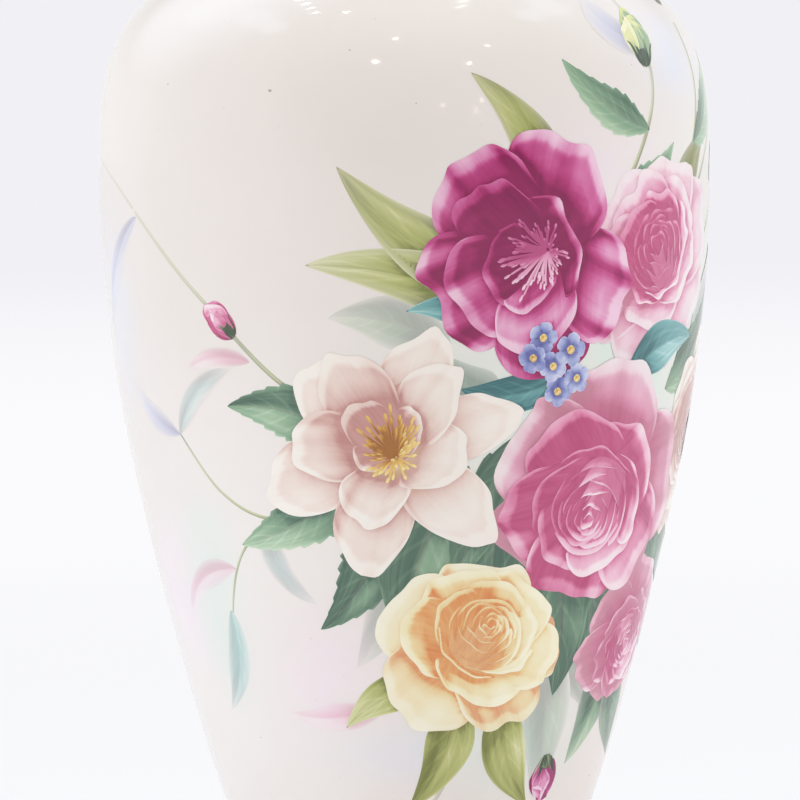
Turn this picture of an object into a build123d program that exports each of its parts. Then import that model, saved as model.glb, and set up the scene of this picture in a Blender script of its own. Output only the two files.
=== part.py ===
from build123d import *
import math
import os

# Flower vase in porcelain: a high-shouldered ovoid body on a turned foot ring, with a short
# throat and an everted lip. The clay is thrown in sections that are luted together with slip,
# then glazed outside, inside and under the foot. Only the foot's rest face stays bare.
# Millimetres, +Z up, origin at the middle of the rest face.

# ------------------------------------------------------------------ driving dimensions
# Outer form, measured on the glazed surface.
ankle_radius = 53.5       # narrowest level, where the foot ring meets the body
ankle_height = 9.0
foot_sweep = 15.0         # radius of the foot ring's outward sweep below the ankle
belly_radius = 100.0      # widest level
belly_height = 252.0
neck_radius = 33.0        # outside of the throat
neck_height = 343.0       # where the shoulder ends and the throat begins
cove_radius = 16.0        # hollow between the shoulder and the throat
shoulder_lean = 72.0      # how far the shoulder leans inwards where the cove begins
throat_length = 8.0
flare_radius = 18.0       # everted lip, on its outer side
flare_angle = 60.0        # how far the lip leans outwards from the throat

# Share of the way up from ankle to belly, with the share of the widening reached there.
body_form = [(0.124, 0.146), (0.336, 0.472), (0.540, 0.728), (0.740, 0.914), (0.898, 0.989)]
# Share of the way up from belly to cove, with the share of the narrowing reached there.
shoulder_form = [(0.221, 0.012), (0.422, 0.060), (0.655, 0.231), (0.873, 0.606)]

# Clay, glaze and joints.
wall = 4.5                # porcelain wall
floor = 7.0               # porcelain floor of the body
glaze = 0.4               # each coat
seam = 0.6                # slip left in each luted joint
foot_ring_width = 8.0     # clay of the foot ring, from its outside to the recess
rest_edge = 1.2           # rounded edges of the bare rest face
glaze_line = 2.5          # the foot is bare below this height
recess_cove = 2.0         # pooled glaze in the corner of the recess under the floor
heel_radius = 24.0        # rounded corner between the inner wall and the inner floor

# ------------------------------------------------------------------ derived levels
body_start = ankle_height + seam
floor_top = body_start + floor
belly_low = belly_height - seam / 2
belly_high = belly_height + seam / 2
neck_start = neck_height + seam
throat_top = neck_start + throat_length

# Depths below the glazed outside.
clay_outside = glaze
clay_inside = glaze + wall
cavity = glaze + wall + glaze
recess_radius = ankle_radius - clay_outside - foot_ring_width


def form_points(start, end, form):
    """Points between two (radius, height) pairs, from shares of the height and the radius."""
    rise = end[1] - start[1]
    change = end[0] - start[0]
    return [(start[0] + change * across, start[1] + rise * up) for up, across in form]


# ------------------------------------------------------------------ outer form
# Half section: x is the radius and y the height. Each coat and wall is inset from it.
ankle = (ankle_radius, body_start)
belly_lower_edge = (belly_radius, belly_low)
belly_upper_edge = (belly_radius, belly_high)
lean_out = math.sin(math.radians(shoulder_lean))
lean_up = math.cos(math.radians(shoulder_lean))
shoulder_top = (neck_radius + cove_radius * (1 - lean_up), neck_height - cove_radius * lean_out)

with BuildLine() as outer_form:
    body_curve = Spline(
        ankle,
        *form_points(ankle, belly_lower_edge, body_form),
        belly_lower_edge,
        tangents=[(0, 1), (0, 1)],
    )
    shoulder_curve = Spline(
        belly_upper_edge,
        *form_points(belly_upper_edge, shoulder_top, shoulder_form),
        shoulder_top,
        tangents=[(0, 1), (-lean_out, lean_up)],
    )


# ------------------------------------------------------------------ drawing helpers
def inset_point(curve, share, depth):
    """A point at a share of an upward curve, moved off it towards the vase's inside."""
    along = curve % share
    return curve @ share + Vector(-along.Y, along.X) * depth


def inset_curve(curve, depth, start=0.0, spans=16):
    """Draw the stretch of a curve from a start share to its end, at a depth inside it."""
    shares = [start + (1 - start) * i / spans for i in range(spans + 1)]
    points = [inset_point(curve, share, depth) for share in shares]
    return Spline(*points, tangents=[curve % start, curve % 1])


def foot_arc(depth, low):
    """Draw the foot ring's swept outside at a depth, from a height up to the ankle."""
    radius = foot_sweep + depth
    turn = math.degrees(math.asin((ankle_height - low) / radius))
    return CenterArc((ankle_radius + foot_sweep, ankle_height), radius, 180 + turn, -turn)


def cove_arc(depth):
    """Draw the hollow at a depth, from the shoulder to the foot of the throat."""
    middle = (neck_radius + cove_radius, neck_height)
    return CenterArc(middle, cove_radius + depth, 180 + shoulder_lean, -shoulder_lean)


def flare_arc(depth):
    """Draw the everted lip at a depth, from the throat to where its rounded edge begins."""
    return CenterArc((neck_radius + flare_radius, throat_top), flare_radius + depth, 180, -flare_angle)


def lip_arc(depth, start, size):
    """Draw part of the lip's rounded edge, from 0 at its outside to 180 at its inside."""
    reach = flare_radius + cavity / 2
    lean = math.radians(flare_angle)
    middle = (neck_radius + flare_radius - reach * math.cos(lean), throat_top + reach * math.sin(lean))
    return CenterArc(middle, cavity / 2 - depth, start - flare_angle, size)


def heel_arc_radius(share, depth, level):
    """Radius of the inner corner that leaves the wall at a share and lands on a floor level."""
    return (inset_point(body_curve, share, depth).Y - level) / (1 - (body_curve % share).X)


def find_heel():
    """Share of the body curve at which the clay's inner corner has the heel radius."""
    low, high = 0.0, 0.5
    while high - low > 1e-7:
        middle = (low + high) / 2
        if heel_arc_radius(middle, clay_inside, floor_top) > heel_radius:
            high = middle
        else:
            low = middle
    return low


heel_share = find_heel()


def draw_body_inside(depth, level):
    """Draw the body's inside at a depth: wall, rounded heel, and floor to the axis."""
    side = inset_curve(body_curve, depth, start=heel_share)
    down = -(body_curve % heel_share)
    turn = math.degrees(math.acos(-down.X))
    corner = JernArc(side @ 0, down, heel_arc_radius(heel_share, depth, level), -turn)
    Line(corner @ 1, (0, level))


def draw_outside(depth):
    """Draw the whole outside at a depth; gives its ends, at the glaze line and the lip's crest."""
    foot = foot_arc(depth, glaze_line)
    Line((ankle_radius - depth, ankle_height), (ankle_radius - depth, body_start))
    inset_curve(body_curve, depth)
    Line((belly_radius - depth, belly_low), (belly_radius - depth, belly_high))
    inset_curve(shoulder_curve, depth)
    cove_arc(depth)
    Line((neck_radius - depth, neck_height), (neck_radius - depth, throat_top))
    flare_arc(depth)
    crest = lip_arc(depth, 0, 90)
    return foot @ 0, crest @ 1


def draw_inside(depth, level, lip_depth):
    """Draw the whole inside at a depth, down to the floor; gives its end at the lip's crest."""
    crest = lip_arc(lip_depth, 90, 90)
    flare_arc(depth)
    Line((neck_radius - depth, throat_top), (neck_radius - depth, neck_height))
    cove_arc(depth)
    inset_curve(shoulder_curve, depth)
    Line((belly_radius - depth, belly_high), (belly_radius - depth, belly_low))
    draw_body_inside(depth, level)
    return crest @ 0


def slip_ring(label, inner_radius, outer_radius, low):
    """One luted joint: the ring of slip left between two sections of clay."""
    with BuildPart() as ring:
        with BuildSketch(Plane.XY.offset(low)):
            Circle(outer_radius)
            Circle(inner_radius, mode=Mode.SUBTRACT)
        extrude(amount=seam)
    ring.part.label = label
    return ring


# ------------------------------------------------------------------ clay sections
# Foot ring: swept outside, plain recess wall, rounded edges at the bare rest face.
with BuildPart() as foot_ring:
    with BuildSketch(Plane.XZ) as foot_section:
        with BuildLine():
            outside = foot_arc(clay_outside, 0)
            top = Line(outside @ 1, (recess_radius, ankle_height))
            recess = Line(top @ 1, (recess_radius, 0))
            Line(recess @ 1, outside @ 0)
        make_face()
        fillet(foot_section.vertices().group_by(Axis.Y)[0], rest_edge)
    revolve(axis=Axis.Z)
foot_ring.part.label = "foot_ring"

# Lower body: the floor and the widening wall, up to the joint at the widest level.
with BuildPart() as lower_body:
    with BuildSketch(Plane.XZ):
        with BuildLine():
            outside = inset_curve(body_curve, clay_outside)
            Line(outside @ 1, (belly_radius - clay_inside, belly_low))
            draw_body_inside(clay_inside, floor_top)
            Line((0, floor_top), (0, body_start))
            Line((0, body_start), outside @ 0)
        make_face()
    revolve(axis=Axis.Z)
lower_body.part.label = "lower_body"

# Upper body: the shoulder, from the widest level in to the neck.
with BuildPart() as upper_body:
    with BuildSketch(Plane.XZ):
        with BuildLine():
            outside = inset_curve(shoulder_curve, clay_outside)
            outer_cove = cove_arc(clay_outside)
            inside = inset_curve(shoulder_curve, clay_inside)
            inner_cove = cove_arc(clay_inside)
            Line(outside @ 0, inside @ 0)
            Line(outer_cove @ 1, inner_cove @ 1)
        make_face()
    revolve(axis=Axis.Z)
upper_body.part.label = "upper_body"

# Neck: the straight throat and the everted lip with its rounded edge.
with BuildPart() as neck:
    with BuildSketch(Plane.XZ):
        with BuildLine():
            outside = Line((neck_radius - clay_outside, neck_start), (neck_radius - clay_outside, throat_top))
            flare_arc(clay_outside)
            lip_arc(clay_outside, 0, 180)
            flare_arc(clay_inside)
            inside = Line((neck_radius - clay_inside, neck_start), (neck_radius - clay_inside, throat_top))
            Line(outside @ 0, inside @ 0)
        make_face()
    revolve(axis=Axis.Z)
neck.part.label = "neck"

# ------------------------------------------------------------------ luted joints
foot_slip_joint = slip_ring("foot_slip_joint", recess_radius, ankle_radius - clay_outside, ankle_height)
belly_slip_joint = slip_ring(
    "belly_slip_joint", belly_radius - clay_inside, belly_radius - clay_outside, belly_low
)
neck_slip_joint = slip_ring(
    "neck_slip_joint", neck_radius - clay_inside, neck_radius - clay_outside, neck_height
)

# ------------------------------------------------------------------ glaze coats
# Outer glaze: from the glaze line on the foot ring to the crest of the lip.
with BuildPart() as outer_glaze:
    with BuildSketch(Plane.XZ):
        with BuildLine():
            face_foot, face_crest = draw_outside(0)
            clay_foot, clay_crest = draw_outside(clay_outside)
            Line(face_foot, clay_foot)
            Line(face_crest, clay_crest)
        make_face()
    revolve(axis=Axis.Z)
outer_glaze.part.label = "outer_glaze"

# Inner glaze: from the crest of the lip down the throat and the wall, and across the floor.
with BuildPart() as inner_glaze:
    with BuildSketch(Plane.XZ):
        with BuildLine():
            face_crest = draw_inside(cavity, floor_top + glaze, 0)
            clay_crest = draw_inside(clay_inside, floor_top, clay_outside)
            Line(face_crest, clay_crest)
            Line((0, floor_top), (0, floor_top + glaze))
        make_face()
    revolve(axis=Axis.Z)
inner_glaze.part.label = "inner_glaze"

# Base glaze: the recess wall and the underside of the floor, pooled in the corner.
with BuildPart() as base_glaze:
    with BuildSketch(Plane.XZ) as base_section:
        with BuildLine():
            Polyline(
                (recess_radius, glaze_line),
                (recess_radius, body_start),
                (0, body_start),
                (0, body_start - glaze),
                (recess_radius - glaze, body_start - glaze),
                (recess_radius - glaze, glaze_line),
                close=True,
            )
        make_face()
        pooled = base_section.vertices().sort_by_distance((recess_radius - glaze, body_start - glaze))
        fillet(pooled[0], recess_cove)
    revolve(axis=Axis.Z)
base_glaze.part.label = "base_glaze"

# ------------------------------------------------------------------ files and measures
pieces = [
    foot_ring,
    lower_body,
    upper_body,
    neck,
    foot_slip_joint,
    belly_slip_joint,
    neck_slip_joint,
    outer_glaze,
    inner_glaze,
    base_glaze,
]

os.makedirs("parts", exist_ok=True)
for piece in pieces:
    export_step(piece.part, f"parts/{piece.part.label}.step")

print(f"height {neck.part.bounding_box().max.Z + glaze:.2f} mm, widest {2 * belly_radius:.1f} mm")
print(f"lip {2 * outer_glaze.part.faces().sort_by(Axis.Z)[-1].bounding_box().max.X:.2f} mm across")
print(f"inner heel radius {heel_arc_radius(heel_share, clay_inside, floor_top):.2f} mm")
for piece in pieces:
    print(f"{piece.part.label}: {piece.part.volume / 1000:.2f} cm3, {len(piece.part.solids())} solid")
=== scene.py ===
# %% [markdown]
# # A painted porcelain vase
# The vase is one fired vessel: white porcelain, a gloss glaze, and flowers painted on the glaze in
# enamel colours. The clay, its joints and the glaze coats are solids that come from the imported model.
# Blender adds what makes them look real: the depth of the glaze, the bare clay of the foot, and the
# painted spray. First the imported model is loaded as a fixed frame.

# %% load the frame
import bpy
import math
import numpy as np
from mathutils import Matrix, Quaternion, Vector


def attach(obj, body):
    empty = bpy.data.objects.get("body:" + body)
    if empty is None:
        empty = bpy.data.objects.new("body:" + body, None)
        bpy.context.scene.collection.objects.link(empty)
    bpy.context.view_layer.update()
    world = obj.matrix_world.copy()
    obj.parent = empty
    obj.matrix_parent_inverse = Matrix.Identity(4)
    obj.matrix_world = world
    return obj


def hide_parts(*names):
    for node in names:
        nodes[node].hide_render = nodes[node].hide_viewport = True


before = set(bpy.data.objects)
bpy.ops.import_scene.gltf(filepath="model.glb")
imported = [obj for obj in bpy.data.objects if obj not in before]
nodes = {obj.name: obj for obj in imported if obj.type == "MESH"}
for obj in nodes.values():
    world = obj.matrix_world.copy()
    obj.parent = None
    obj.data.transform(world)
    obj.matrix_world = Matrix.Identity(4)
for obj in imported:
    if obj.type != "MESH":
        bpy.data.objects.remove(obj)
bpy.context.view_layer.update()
MM = 0.001
print("nodes:", ", ".join(sorted(nodes)))

# %% [markdown]
# ## Materials written as sums
# A finish is a small calculation: this much pigment, times this much shade, mixed with white.
# In Blender each step is a node. To keep the sums readable, one class wraps a node's output
# socket, so that `1 - mask` or `veins * 0.3 + tone` adds the Math nodes by itself. Colours go
# through Mix nodes, because a Math node would turn them grey.

# %% the wire class
class Wire:
    """A socket of a material's nodes that can stand in a sum."""

    def __init__(self, tree, socket):
        self.tree = tree
        self.socket = socket

    def node(self, kind, values=None, out=0, stops=None, **settings):
        """Adds a node of a type, sets it up, fills or links its sockets, and gives an output."""
        made = self.tree.nodes.new("ShaderNode" + kind)
        for name, setting in settings.items():
            setattr(made, name, setting)
        if stops:
            set_stops(made.color_ramp, stops)
        for name, value in (values or {}).items():
            socket = find_socket(made.inputs, name)
            if isinstance(value, Wire):
                self.tree.links.new(value.socket, socket)
            else:
                socket.default_value = value
        return Wire(self.tree, find_socket(made.outputs, out))

    def sum(self, operation, other, swap=False, clamp=False):
        pair = (other, self) if swap else (self, other)
        return self.node("Math", dict(enumerate(pair)), operation=operation, use_clamp=clamp)

    def __add__(self, other):
        return self.sum("ADD", other)

    def __sub__(self, other):
        return self.sum("SUBTRACT", other)

    def __rsub__(self, other):
        return self.sum("SUBTRACT", other, swap=True)

    def __mul__(self, other):
        return self.sum("MULTIPLY", other)

    __radd__ = __add__
    __rmul__ = __mul__

    def clamp(self):
        return self.sum("ADD", 0.0, clamp=True)

    def size(self):
        """The value without its sign."""
        return self.node("Math", {0: self}, operation="ABSOLUTE")

    def larger(self, other):
        return self.sum("MAXIMUM", other)

    def steps(self, low, high, start=0.0, end=1.0):
        """A smooth step: start up to low, end from high on."""
        values = {"Value": self, "From Min": low, "From Max": high, "To Min": start, "To Max": end}
        return self.node("MapRange", values, interpolation_type="SMOOTHSTEP")

    def ramp(self, stops):
        """A colour for each value, from (place, colour) stops."""
        return self.node("ValToRGB", {"Fac": self}, "Color", stops)

    def mix(self, first, second):
        """Mixes two colours, with this wire as the share of the second."""
        values = {"Factor_Float": self, "A_Color": first, "B_Color": second}
        return self.node("Mix", values, "Result_Color", data_type="RGBA")

    def split(self):
        """The three parts of a vector."""
        first = self.node("SeparateXYZ", {0: self})
        return [Wire(self.tree, output) for output in first.socket.node.outputs]

    def place(self):
        """The place on the object, in metres."""
        return self.node("TexCoord", out="Object")

    def kept(self, name):
        """The three numbers that the points of the mesh keep under a name."""
        return self.node("Attribute", out="Vector", attribute_name=name).split()

    def stretch(self, factors):
        """A vector with each part multiplied, which squeezes a pattern along that part."""
        return self.node("VectorMath", {0: self, 1: factors}, "Vector", operation="MULTIPLY")

    def noise(self, scale, detail=2.0, roughness=0.5, distortion=0.0):
        """Noise at this place, mostly between 0.3 and 0.7."""
        values = {"Vector": self, "Scale": scale, "Detail": detail, "Roughness": roughness,
                  "Distortion": distortion}
        return self.node("TexNoise", values)

    def show(self, surface, kind="OutputMaterial"):
        """Makes a shader the surface of the material or the world."""
        output = self.tree.nodes.new("ShaderNode" + kind)
        self.tree.links.new(surface.socket, output.inputs["Surface"])


def find_socket(sockets, name):
    """A socket by its number, its identifier or its name."""
    if isinstance(name, int):
        return sockets[name]
    for socket in sockets:
        if socket.identifier == name:
            return socket
    return sockets[name]


def set_stops(ramp, stops):
    ramp.interpolation = "B_SPLINE" if len(stops) > 3 else "EASE"
    while len(ramp.elements) > 1:
        ramp.elements.remove(ramp.elements[-1])
    ramp.elements[0].position = stops[0][0]
    ramp.elements[0].color = stops[0][1]
    for place, colour in stops[1:]:
        ramp.elements.new(place).color = colour

# %% colours and shaders
def rgb(red, green, blue):
    """A colour from its 0 to 255 screen values, as the linear numbers that Blender uses."""
    def linear(value):
        value /= 255
        return value / 12.92 if value <= 0.04045 else ((value + 0.055) / 1.055) ** 2.4
    return (linear(red), linear(green), linear(blue), 1.0)


def new_material(name):
    """A material without nodes, and a wire to start its nodes from."""
    material = bpy.data.materials.new(name)
    material.use_nodes = True
    material.node_tree.nodes.clear()
    return material, Wire(material.node_tree, None)


def finish_surface(start, colour, roughness, normal=None, **fixed):
    """Ends a material in one Principled shader. Fixed values are set on the shader's sockets."""
    values = {"Base Color": colour, "Roughness": roughness}
    if normal is not None:
        values["Normal"] = normal
    values.update({name.replace("_", " "): value for name, value in fixed.items()})
    start.show(start.node("BsdfPrincipled", values, "BSDF"))


def bump(height, strength, distance):
    """A normal from a height, for relief finer than the mesh."""
    return height.node("Bump", {"Height": height, "Strength": strength, "Distance": distance})

# %% [markdown]
# ## The camera and the light
# The vase is seen a little from above, so close that its foot and its mouth leave the view. A long
# lens keeps its sides nearly parallel, and the camera leans by half a degree, as a hand-held one does.

# %% camera
scene = bpy.context.scene
VIEW_LIFT = math.radians(4.5)
VIEW_LEAN = math.radians(-0.5)
VIEW_DISTANCE = 1.25
FRAME_WIDTH = 0.263
look_at = Vector((-0.0020, 0.0, 0.1735))

camera = bpy.data.objects.new("camera", bpy.data.cameras.new("camera"))
scene.collection.objects.link(camera)
towards_eye = Vector((0.0, -math.cos(VIEW_LIFT), math.sin(VIEW_LIFT)))
camera.location = look_at + towards_eye * VIEW_DISTANCE
camera.rotation_mode = "QUATERNION"
straight = (-towards_eye).to_track_quat("-Z", "Y")
camera.rotation_quaternion = Quaternion(towards_eye, VIEW_LEAN) @ straight
camera.data.lens = camera.data.sensor_width * VIEW_DISTANCE / FRAME_WIDTH
camera.data.clip_end = 60.0
scene.camera = camera
scene.view_settings.view_transform = "Standard"
print(f"lens {camera.data.lens:.0f} mm")

# %% [markdown]
# A glazed vase is a mirror as much as it is white, so what lights it and what it mirrors are set
# apart. The light comes from a tent, bright at the sides and above and dimmer behind the camera,
# and from two softboxes above the shoulders. What the glaze mirrors is a row of soft windows, which
# lay the sheen on the shoulders, a few small warm lamps, which make the points of light, and two
# louvred ceiling lights with flat slats, which make the small ladders of bars. The camera sees only
# the plain wall.

# %% lamps
belly = Vector((0.0, 0.0, 0.24))


def soft_lamp(name, offset, width, height, power, colour=(1.0, 1.0, 1.0), mirrored=True, turn=None,
              aim=(0.0, 0.0, 0.0)):
    """A rectangular lamp: it faces the belly or its aim, or straight down if turned by some degrees."""
    light = bpy.data.lights.new(name, "AREA")
    light.shape = "RECTANGLE"
    light.size = width
    light.size_y = height
    light.energy = power
    light.color = colour
    lamp = bpy.data.objects.new(name, light)
    lamp.location = belly + Vector(offset)
    lamp.rotation_mode = "QUATERNION"
    if turn is None:
        lamp.rotation_quaternion = (Vector(aim) - Vector(offset)).to_track_quat("-Z", "Y")
    else:
        lamp.rotation_quaternion = Quaternion((0.0, 0.0, 1.0), math.radians(turn))
    lamp.visible_camera = False
    lamp.visible_glossy = mirrored
    scene.collection.objects.link(lamp)
    return lamp


COOL = (0.84, 0.94, 1.0)
WARM = (1.0, 0.84, 0.62)
SMALL_LAMP = 0.052
SLAT_POWER = 0.15
soft_lamp("left_softbox", (-1.5, -0.5, 1.2), 0.9, 0.9, 11.9, COOL, mirrored=False)
soft_lamp("right_softbox", (1.5, -0.2, 1.2), 0.9, 0.9, 12.6, COOL, mirrored=False)
ceiling_lamps = [
    # offset from the belly in metres, and power in watts
    ((-0.54, -0.57, 1.93), 0.40), ((-0.09, -1.38, 1.58), 0.36), ((-0.35, -1.75, 1.12), 0.90),
    ((0.81, -1.62, 1.06), 0.40), ((0.95, -1.27, 1.38), 0.14), ((0.50, -2.00, 0.43), 0.05),
    ((0.91, -1.86, 0.37), 0.05), ((0.97, -1.79, 0.46), 0.05),
]
for number, (offset, power) in enumerate(ceiling_lamps):
    soft_lamp(f"ceiling_lamp_{number + 1}", offset, SMALL_LAMP, SMALL_LAMP, power, WARM)
louvres = [
    # first slat, step from slat to slat, number of slats, length and breadth, turn in degrees
    ("left_louvre", Vector((-0.783, 0.269, 1.9)), Vector((-0.008, -0.174, 0.0)), 5, (0.098, 0.040), 9.5),
    ("right_louvre", Vector((0.487, -0.052, 1.9)), Vector((0.010, -0.172, 0.0)), 3, (0.137, 0.030), 57.0),
]
for name, first, step, count, slat, turn in louvres:
    for number in range(count):
        soft_lamp(f"{name}_{number + 1}", first + step * number, *slat, SLAT_POWER, turn=turn)

# %% the room
world = bpy.data.worlds.new("light_tent")
scene.world = world
world.use_nodes = True
world.node_tree.nodes.clear()
room = Wire(world.node_tree, None)
BACKDROP = rgb(241, 240, 245)
WINDOWS = [
    # direction, angles in degrees where the glow is full and where it ends, strength
    ((-0.62, 0.34, 0.71), 6.0, 38.0, 1.4), ((-0.59, 0.30, 0.75), 6.0, 17.0, 0.75),
    ((-0.605, -0.02, 0.795), 3.0, 9.0, 1.15), ((-0.60, -0.20, 0.775), 2.0, 6.0, 1.75),
    ((0.62, 0.36, 0.70), 6.0, 36.0, 0.9), ((0.565, 0.10, 0.82), 3.0, 8.0, 1.25),
    ((0.55, -0.09, 0.83), 2.0, 6.5, 1.75),
]
look = room.node("TexCoord", out="Generated")
side, front, top = look.split()
dim_behind_camera = (front * -1.0).steps(0.2, 1.0)
brightness = 0.635 + (side * side) * 0.19 + top.steps(0.0, 1.0) * 0.12 - dim_behind_camera * 0.265
air = front.steps(-1.0, 0.1).mix((1.0, 0.978, 0.940, 1.0), (0.985, 0.995, 1.0, 1.0))
mirrored = room.node("LightPath", out="Is Glossy Ray")
near_horizon = 1.0 - top.size().steps(0.1, 0.5)
brightness = brightness + near_horizon * front.steps(-0.1, 0.6) * mirrored * 0.28
glow = 0.0
for direction, full, end, strength in WINDOWS:
    near = look.node("VectorMath", {0: look, 1: direction}, "Value", operation="DOT_PRODUCT")
    glow = near.steps(math.cos(math.radians(end)), math.cos(math.radians(full))) * strength + glow
tent = room.node("Background", {"Color": air, "Strength": brightness})
windows = room.node("Background", {"Color": (0.64, 0.80, 1.0, 1.0), "Strength": glow * mirrored})
shining = room.node("AddShader", {0: tent, 1: windows})
wall = room.node("Background", {"Color": BACKDROP, "Strength": 1.0})
seen = room.node("LightPath", out="Is Camera Ray")
room.show(room.node("MixShader", {0: seen, 1: shining, 2: wall}), "OutputWorld")
print(f"{len(bpy.data.lights)} lamps, and {len(WINDOWS)} window glows for the glaze to mirror")

# %% [markdown]
# ## The floor
# A plain white table runs back until it melts into the pale wall. It has to look white, to the eye
# and in the glaze, although the lamps are kept low. So part of it shows its own colour as written,
# all of it far away, and the rest is lit and carries the shadow of the vase.

# %% floor
FLOOR_REACH = 14.0


def make_mesh(name, points, faces):
    """A mesh object from numpy points and triangles or quads."""
    points = np.asarray(points, np.float32)
    faces = np.asarray(faces, np.int32)
    corners = faces.shape[1]
    mesh = bpy.data.meshes.new(name)
    mesh.vertices.add(len(points))
    mesh.vertices.foreach_set("co", points.ravel())
    mesh.loops.add(faces.size)
    mesh.loops.foreach_set("vertex_index", faces.ravel())
    mesh.polygons.add(len(faces))
    mesh.polygons.foreach_set("loop_start", np.arange(len(faces), dtype=np.int32) * corners)
    mesh.update(calc_edges=True)
    thing = bpy.data.objects.new(name, mesh)
    scene.collection.objects.link(thing)
    return thing


corners = np.array([(-1, -1, 0), (1, -1, 0), (1, 1, 0), (-1, 1, 0)]) * FLOOR_REACH
floor = make_mesh("floor", corners, [(0, 1, 2, 3)])
table, cloth = new_material("white_table")
away = cloth.node("VectorMath", {0: cloth.place()}, "Value", operation="LENGTH")
near_white = away.steps(0.3, 1.2).mix(rgb(248, 248, 250), rgb(251, 251, 253))
white = away.steps(1.6, 5.5).mix(near_white, BACKDROP)
lit = cloth.node("BsdfDiffuse", {"Color": rgb(247, 245, 247)})
plain = cloth.node("Emission", {"Color": white, "Strength": 1.0})
in_sight = cloth.node("LightPath", out="Is Camera Ray").larger(cloth.node("LightPath", out="Is Glossy Ray"))
own_share = in_sight * away.steps(0.25, 1.2, 0.62, 1.0)
cloth.show(cloth.node("MixShader", {0: own_share, 1: lit, 2: plain}))
floor.data.materials.append(table)
print(f"floor of {2 * FLOOR_REACH:.0f} m")

# %% [markdown]
# The lower body leans away from the lamps above, so two small cards of light stand low beside the
# foot, cool as the sky on the left. They spare the table, on which they would leave bright patches.

# %% low cards
SKY = (0.50, 0.78, 1.0)
left_card = soft_lamp("left_card", (-0.25, -0.10, -0.19), 0.25, 0.09, 0.066, SKY, mirrored=False,
                      aim=(0.0, 0.0, -0.14))
front_card = soft_lamp("front_card", (-0.04, -0.28, -0.19), 0.25, 0.09, 0.026, COOL, mirrored=False,
                       aim=(0.0, 0.0, -0.19))
spared = bpy.data.collections.new("spared_by_the_cards")
spared.objects.link(floor)
spared.collection_objects[0].light_linking.link_state = "EXCLUDE"
for card in (left_card, front_card):
    card.light_linking.receiver_collection = spared
print("cards:", left_card.name, front_card.name)

# %% [markdown]
# ## The turned skin
# Everything painted has to follow the skin of the vase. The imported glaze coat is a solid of
# revolution, so its outline is read from its own corners: radius and height of each corner on the
# outward side. The length along that outline, from the foot up, then serves as the ruler for
# heights, as a tape laid on the wall would, and an angle from the front serves for the way round.

# %% read the outline of the glaze
def vectors_of(items, name):
    """One vector of each point or face of a mesh."""
    values = np.empty(len(items) * 3, np.float32)
    items.foreach_get(name, values)
    return values.reshape(-1, 3)


def outline_of(node, spacing, least_outward=0.05):
    """Radius and height along the outward side of a turned node, from its foot to its crest, in mm."""
    mesh = nodes[node].data
    points = vectors_of(mesh.vertices, "co").astype(float) / MM
    centres = vectors_of(mesh.polygons, "center")
    normals = vectors_of(mesh.polygons, "normal")
    outward = (centres[:, :2] * normals[:, :2]).sum(axis=1) / np.hypot(centres[:, 0], centres[:, 1])
    used = set()
    for number in np.flatnonzero(outward > least_outward):
        used.update(mesh.polygons[int(number)].vertices)
    points = points[sorted(used)]
    pairs = np.column_stack([np.hypot(points[:, 0], points[:, 1]), points[:, 2]])
    pairs = pairs[np.argsort(pairs[:, 1])]
    kept = [pairs[0]]
    for pair in pairs:
        if math.dist(pair, kept[-1]) > spacing:
            kept.append(pair)
    return np.array(kept)


outline = outline_of("outer_glaze", 0.35)
ruler = np.concatenate([[0.0], np.cumsum(np.hypot(*np.diff(outline, axis=0).T))])
print(f"outline of {len(outline)} points, {ruler[-1]:.1f} mm from the glaze line to the crest")

# %% [markdown]
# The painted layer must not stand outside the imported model, so the bed of glaze that carries it
# lies 0.38 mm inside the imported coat, and the paint is laid on top of that bed. Towards the foot
# and the neck, where nothing is painted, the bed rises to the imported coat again.

# %% the skin as functions
BED_DEPTH = 0.38
BED_STARTS = (8.0, 24.0)
BED_ENDS = (322.0, 340.0)
FINE = np.linspace(0.0, ruler[-1], int(ruler[-1]) + 1)
fine_radius = np.interp(FINE, ruler, outline[:, 0])
fine_height = np.interp(FINE, ruler, outline[:, 1])
lean = np.arctan2(-np.gradient(fine_radius), np.gradient(fine_height))
soften = np.hanning(7) / np.hanning(7).sum()
lean[3:-3] = np.convolve(lean, soften, mode="valid")


def ease(value, low, high):
    """A smooth step from 0 to 1."""
    share = np.clip((value - low) / (high - low), 0.0, 1.0)
    return share * share * (3.0 - 2.0 * share)


def level(height):
    """The ruler's length at a height in mm."""
    return float(np.interp(height, fine_height, FINE))


def skin(angle, along, rise):
    """Points in metres on the skin: angle from the front, ruler length, and mm above the bed."""
    radius = np.interp(along, FINE, fine_radius)
    height = np.interp(along, FINE, fine_height)
    tilt = np.interp(along, FINE, lean)
    depth = BED_DEPTH * ease(height, *BED_STARTS) * (1.0 - ease(height, *BED_ENDS))
    radius = radius + np.cos(tilt) * (rise - depth)
    height = height + np.sin(tilt) * (rise - depth)
    points = np.stack([radius * np.sin(angle), -radius * np.cos(angle), height], axis=-1) * MM
    normals = np.stack([np.cos(tilt) * np.sin(angle), -np.cos(tilt) * np.cos(angle), np.sin(tilt)], axis=-1)
    return points, normals


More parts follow.
